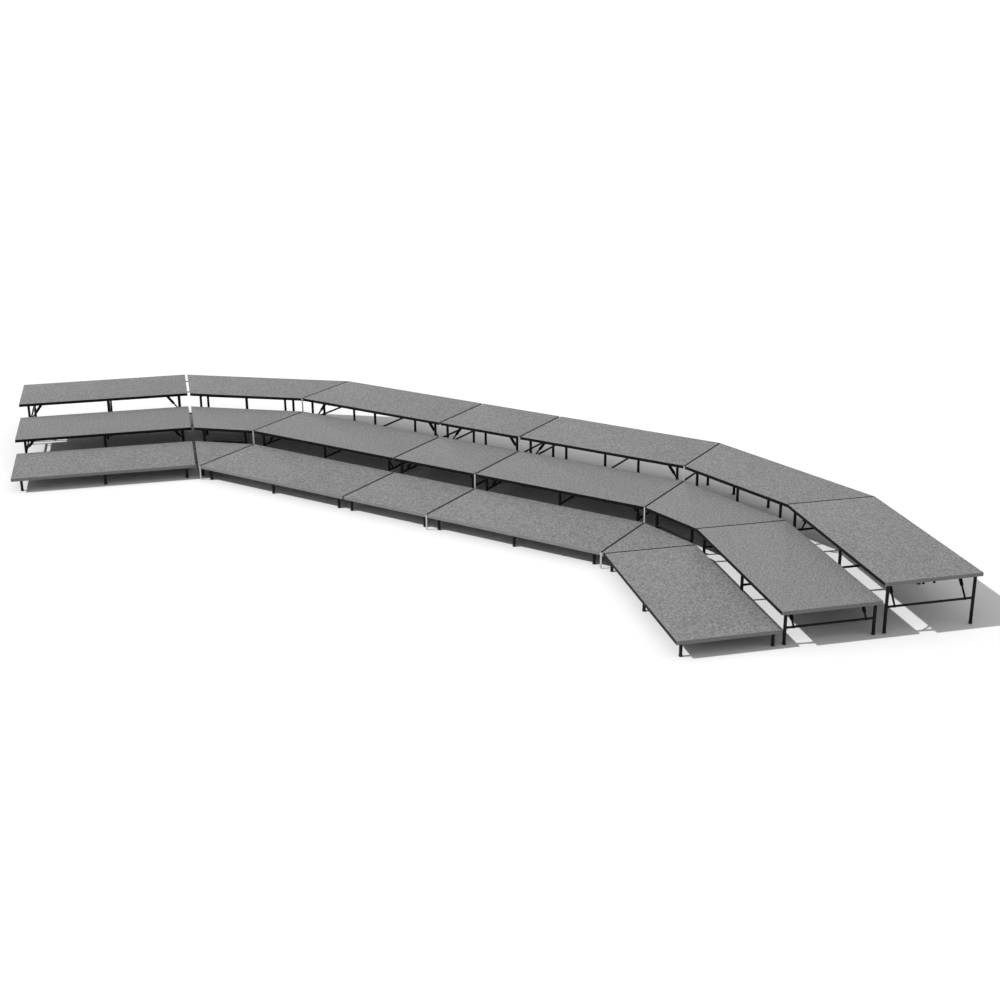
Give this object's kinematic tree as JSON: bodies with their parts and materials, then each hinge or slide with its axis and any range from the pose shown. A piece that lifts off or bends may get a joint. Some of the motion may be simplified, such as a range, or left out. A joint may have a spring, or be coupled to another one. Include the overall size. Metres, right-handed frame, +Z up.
{
  "type": "stage riser platform set",
  "caption": "Curved three-tier set of stage riser platforms: grey textured decks on black folding tube legs, straight centre run, wedge decks and angled arms.",
  "frame": {"origin": "on the floor, under the middle of the whole set's bounding box", "axes": "+X along the straight centre run towards the right arm, +Y from the front tier to the back tier, +Z up"},
  "size_m": [14.6064, 5.1414, 0.6096],
  "materials": {
    "deck_surface": "fine textured grey covering on board",
    "leg_tube": "satin black powder coat"
  },
  "bodies": {
    "decks": {"front_deck_left_arm": "deck_surface", "front_deck_left_wedge": "deck_surface", "front_deck_centre_left": "deck_surface", "front_deck_centre_short": "deck_surface", "front_deck_centre_right": "deck_surface", "front_deck_right_wedge": "deck_surface", "front_deck_right_arm": "deck_surface", "middle_deck_left_arm": "deck_surface", "middle_deck_left_wedge": "deck_surface", "middle_deck_centre_left": "deck_surface", "middle_deck_centre_short": "deck_surface", "middle_deck_centre_right": "deck_surface", "middle_deck_right_wedge": "deck_surface", "middle_deck_right_arm": "deck_surface", "back_deck_left_arm": "deck_surface", "back_deck_left_wedge": "deck_surface", "back_deck_centre_left": "deck_surface", "back_deck_centre_short": "deck_surface", "back_deck_centre_right": "deck_surface", "back_deck_right_wedge": "deck_surface", "back_deck_right_arm": "deck_surface"},
    "back_legs_right_arm_left": {"back_legs_right_arm_left": "leg_tube"},
    "back_legs_right_arm_right": {"back_legs_right_arm_right": "leg_tube"},
    "back_legs_right_arm_mid": {"back_legs_right_arm_mid": "leg_tube"},
    "back_legs_right_wedge_front": {"back_legs_right_wedge_front": "leg_tube"},
    "back_legs_right_wedge_back": {"back_legs_right_wedge_back": "leg_tube"},
    "middle_legs_right_wedge_front": {"middle_legs_right_wedge_front": "leg_tube"},
    "middle_legs_right_wedge_back": {"middle_legs_right_wedge_back": "leg_tube"},
    "middle_legs_centre_short_left": {"middle_legs_centre_short_left": "leg_tube"},
    "middle_legs_centre_short_right": {"middle_legs_centre_short_right": "leg_tube"},
    "middle_legs_right_arm_left": {"middle_legs_right_arm_left": "leg_tube"},
    "middle_legs_right_arm_right": {"middle_legs_right_arm_right": "leg_tube"},
    "middle_legs_right_arm_mid": {"middle_legs_right_arm_mid": "leg_tube"},
    "back_legs_centre_short_left": {"back_legs_centre_short_left": "leg_tube"},
    "back_legs_centre_short_right": {"back_legs_centre_short_right": "leg_tube"},
    "middle_legs_left_arm_left": {"middle_legs_left_arm_left": "leg_tube"},
    "middle_legs_left_arm_right": {"middle_legs_left_arm_right": "leg_tube"},
    "middle_legs_left_arm_mid": {"middle_legs_left_arm_mid": "leg_tube"},
    "middle_legs_left_wedge_front": {"middle_legs_left_wedge_front": "leg_tube"},
    "middle_legs_left_wedge_back": {"middle_legs_left_wedge_back": "leg_tube"},
    "middle_legs_centre_left_left": {"middle_legs_centre_left_left": "leg_tube"},
    "middle_legs_centre_left_right": {"middle_legs_centre_left_right": "leg_tube"},
    "middle_legs_centre_left_mid": {"middle_legs_centre_left_mid": "leg_tube"},
    "middle_legs_centre_right_left": {"middle_legs_centre_right_left": "leg_tube"},
    "middle_legs_centre_right_right": {"middle_legs_centre_right_right": "leg_tube"},
    "middle_legs_centre_right_mid": {"middle_legs_centre_right_mid": "leg_tube"},
    "back_legs_left_arm_left": {"back_legs_left_arm_left": "leg_tube"},
    "back_legs_left_arm_right": {"back_legs_left_arm_right": "leg_tube"},
    "back_legs_left_arm_mid": {"back_legs_left_arm_mid": "leg_tube"},
    "back_legs_left_wedge_front": {"back_legs_left_wedge_front": "leg_tube"},
    "back_legs_left_wedge_back": {"back_legs_left_wedge_back": "leg_tube"},
    "back_legs_centre_left_left": {"back_legs_centre_left_left": "leg_tube"},
    "back_legs_centre_left_right": {"back_legs_centre_left_right": "leg_tube"},
    "back_legs_centre_left_mid": {"back_legs_centre_left_mid": "leg_tube"},
    "back_legs_centre_right_left": {"back_legs_centre_right_left": "leg_tube"},
    "back_legs_centre_right_right": {"back_legs_centre_right_right": "leg_tube"},
    "back_legs_centre_right_mid": {"back_legs_centre_right_mid": "leg_tube"}
  },
  "joints": [
    {"name": "fold_back_legs_right_arm_left", "type": "hinge", "parent": "decks", "child": "back_legs_right_arm_left", "pos_m": [5.23425, 1.10339, 0.5656], "axis": [-0.7071, -0.7071, 0], "range_deg": [0, 90]},
    {"name": "fold_back_legs_right_arm_right", "type": "hinge", "parent": "decks", "child": "back_legs_right_arm_right", "pos_m": [6.86653, -0.5289, 0.5656], "axis": [0.7071, 0.7071, 0], "range_deg": [0, 90]},
    {"name": "fold_back_legs_right_arm_mid", "type": "hinge", "parent": "decks", "child": "back_legs_right_arm_mid", "pos_m": [6.0849, 0.25274, 0.5656], "axis": [0.7071, 0.7071, 0], "range_deg": [0, 90]},
    {"name": "fold_back_legs_right_wedge_front", "type": "hinge", "parent": "decks", "child": "back_legs_right_wedge_front", "pos_m": [3.9768, 1.15484, 0.5656], "axis": [0.9239, -0.3827, 0], "range_deg": [0, 90]},
    {"name": "fold_back_legs_right_wedge_back", "type": "hinge", "parent": "decks", "child": "back_legs_right_wedge_back", "pos_m": [4.31892, 1.98077, 0.5656], "axis": [-0.9239, 0.3827, 0], "range_deg": [0, 90]},
    {"name": "fold_middle_legs_right_wedge_front", "type": "hinge", "parent": "decks", "child": "middle_legs_right_wedge_front", "pos_m": [3.57729, 0.19033, 0.3624], "axis": [0.9239, -0.3827, 0], "range_deg": [0, 90]},
    {"name": "fold_middle_legs_right_wedge_back", "type": "hinge", "parent": "decks", "child": "middle_legs_right_wedge_back", "pos_m": [3.9194, 1.01626, 0.3624], "axis": [-0.9239, 0.3827, 0], "range_deg": [0, 90]},
    {"name": "fold_middle_legs_centre_short_left", "type": "hinge", "parent": "decks", "child": "middle_legs_centre_short_left", "pos_m": [-0.56013, 0.8776, 0.3624], "axis": [0, -1, 0], "range_deg": [0, 90]},
    {"name": "fold_middle_legs_centre_short_right", "type": "hinge", "parent": "decks", "child": "middle_legs_centre_short_right", "pos_m": [0.58487, 0.8776, 0.3624], "axis": [0, 1, 0], "range_deg": [0, 90]},
    {"name": "fold_middle_legs_right_arm_left", "type": "hinge", "parent": "decks", "child": "middle_legs_right_arm_left", "pos_m": [4.43522, 0.30436, 0.3624], "axis": [-0.7071, -0.7071, 0], "range_deg": [0, 90]},
    {"name": "fold_middle_legs_right_arm_right", "type": "hinge", "parent": "decks", "child": "middle_legs_right_arm_right", "pos_m": [6.0675, -1.32793, 0.3624], "axis": [0.7071, 0.7071, 0], "range_deg": [0, 90]},
    {"name": "fold_middle_legs_right_arm_mid", "type": "hinge", "parent": "decks", "child": "middle_legs_right_arm_mid", "pos_m": [5.25136, -0.51179, 0.3624], "axis": [0.7071, 0.7071, 0], "range_deg": [0, 90]},
    {"name": "fold_back_legs_centre_short_left", "type": "hinge", "parent": "decks", "child": "back_legs_centre_short_left", "pos_m": [-0.56013, 2.0076, 0.5656], "axis": [0, -1, 0], "range_deg": [0, 90]},
    {"name": "fold_back_legs_centre_short_right", "type": "hinge", "parent": "decks", "child": "back_legs_centre_short_right", "pos_m": [0.58487, 2.0076, 0.5656], "axis": [0, 1, 0], "range_deg": [0, 90]},
    {"name": "fold_middle_legs_left_arm_left", "type": "hinge", "parent": "decks", "child": "middle_legs_left_arm_left", "pos_m": [-6.02508, -1.26075, 0.3624], "axis": [0.7071, -0.7071, 0], "range_deg": [0, 90]},
    {"name": "fold_middle_legs_left_arm_right", "type": "hinge", "parent": "decks", "child": "middle_legs_left_arm_right", "pos_m": [-4.47764, 0.28668, 0.3624], "axis": [-0.7071, 0.7071, 0], "range_deg": [0, 90]},
    {"name": "fold_middle_legs_left_arm_mid", "type": "hinge", "parent": "decks", "child": "middle_legs_left_arm_mid", "pos_m": [-5.25136, -0.48704, 0.3624], "axis": [-0.7071, 0.7071, 0], "range_deg": [0, 90]},
    {"name": "fold_middle_legs_left_wedge_front", "type": "hinge", "parent": "decks", "child": "middle_legs_left_wedge_front", "pos_m": [-3.56491, 0.2027, 0.3624], "axis": [0.9239, 0.3827, 0], "range_deg": [0, 90]},
    {"name": "fold_middle_legs_left_wedge_back", "type": "hinge", "parent": "decks", "child": "middle_legs_left_wedge_back", "pos_m": [-3.90099, 1.01405, 0.3624], "axis": [-0.9239, -0.3827, 0], "range_deg": [0, 90]},
    {"name": "fold_middle_legs_centre_left_left", "type": "hinge", "parent": "decks", "child": "middle_legs_centre_left_left", "pos_m": [-2.97653, 0.8776, 0.3624], "axis": [0, -1, 0], "range_deg": [0, 90]},
    {"name": "fold_middle_legs_centre_left_right", "type": "hinge", "parent": "decks", "child": "middle_legs_centre_left_right", "pos_m": [-0.76813, 0.8776, 0.3624], "axis": [0, 1, 0], "range_deg": [0, 90]},
    {"name": "fold_middle_legs_centre_left_mid", "type": "hinge", "parent": "decks", "child": "middle_legs_centre_left_mid", "pos_m": [-1.87233, 0.8776, 0.3624], "axis": [0, 1, 0], "range_deg": [0, 90]},
    {"name": "fold_middle_legs_centre_right_left", "type": "hinge", "parent": "decks", "child": "middle_legs_centre_right_left", "pos_m": [0.79987, 0.8776, 0.3624], "axis": [0, -1, 0], "range_deg": [0, 90]},
    {"name": "fold_middle_legs_centre_right_right", "type": "hinge", "parent": "decks", "child": "middle_legs_centre_right_right", "pos_m": [2.99427, 0.8776, 0.3624], "axis": [0, 1, 0], "range_deg": [0, 90]},
    {"name": "fold_middle_legs_centre_right_mid", "type": "hinge", "parent": "decks", "child": "middle_legs_centre_right_mid", "pos_m": [1.89707, 0.8776, 0.3624], "axis": [0, 1, 0], "range_deg": [0, 90]},
    {"name": "fold_back_legs_left_arm_left", "type": "hinge", "parent": "decks", "child": "back_legs_left_arm_left", "pos_m": [-6.82411, -0.46172, 0.5656], "axis": [0.7071, -0.7071, 0], "range_deg": [0, 90]},
    {"name": "fold_back_legs_left_arm_right", "type": "hinge", "parent": "decks", "child": "back_legs_left_arm_right", "pos_m": [-5.27667, 1.08571, 0.5656], "axis": [-0.7071, 0.7071, 0], "range_deg": [0, 90]},
    {"name": "fold_back_legs_left_arm_mid", "type": "hinge", "parent": "decks", "child": "back_legs_left_arm_mid", "pos_m": [-6.01588, 0.3465, 0.5656], "axis": [-0.7071, 0.7071, 0], "range_deg": [0, 90]},
    {"name": "fold_back_legs_left_wedge_front", "type": "hinge", "parent": "decks", "child": "back_legs_left_wedge_front", "pos_m": [-3.96443, 1.16721, 0.5656], "axis": [0.9239, 0.3827, 0], "range_deg": [0, 90]},
    {"name": "fold_back_legs_left_wedge_back", "type": "hinge", "parent": "decks", "child": "back_legs_left_wedge_back", "pos_m": [-4.30046, 1.97845, 0.5656], "axis": [-0.9239, -0.3827, 0], "range_deg": [0, 90]},
    {"name": "fold_back_legs_centre_left_left", "type": "hinge", "parent": "decks", "child": "back_legs_centre_left_left", "pos_m": [-2.97653, 2.0076, 0.5656], "axis": [0, -1, 0], "range_deg": [0, 90]},
    {"name": "fold_back_legs_centre_left_right", "type": "hinge", "parent": "decks", "child": "back_legs_centre_left_right", "pos_m": [-0.76813, 2.0076, 0.5656], "axis": [0, 1, 0], "range_deg": [0, 90]},
    {"name": "fold_back_legs_centre_left_mid", "type": "hinge", "parent": "decks", "child": "back_legs_centre_left_mid", "pos_m": [-1.82353, 2.0076, 0.5656], "axis": [0, 1, 0], "range_deg": [0, 90]},
    {"name": "fold_back_legs_centre_right_left", "type": "hinge", "parent": "decks", "child": "back_legs_centre_right_left", "pos_m": [0.79987, 2.0076, 0.5656], "axis": [0, -1, 0], "range_deg": [0, 90]},
    {"name": "fold_back_legs_centre_right_right", "type": "hinge", "parent": "decks", "child": "back_legs_centre_right_right", "pos_m": [2.99427, 2.0076, 0.5656], "axis": [0, 1, 0], "range_deg": [0, 90]},
    {"name": "fold_back_legs_centre_right_mid", "type": "hinge", "parent": "decks", "child": "back_legs_centre_right_mid", "pos_m": [1.94587, 2.0076, 0.5656], "axis": [0, 1, 0], "range_deg": [0, 90]}
  ]
}
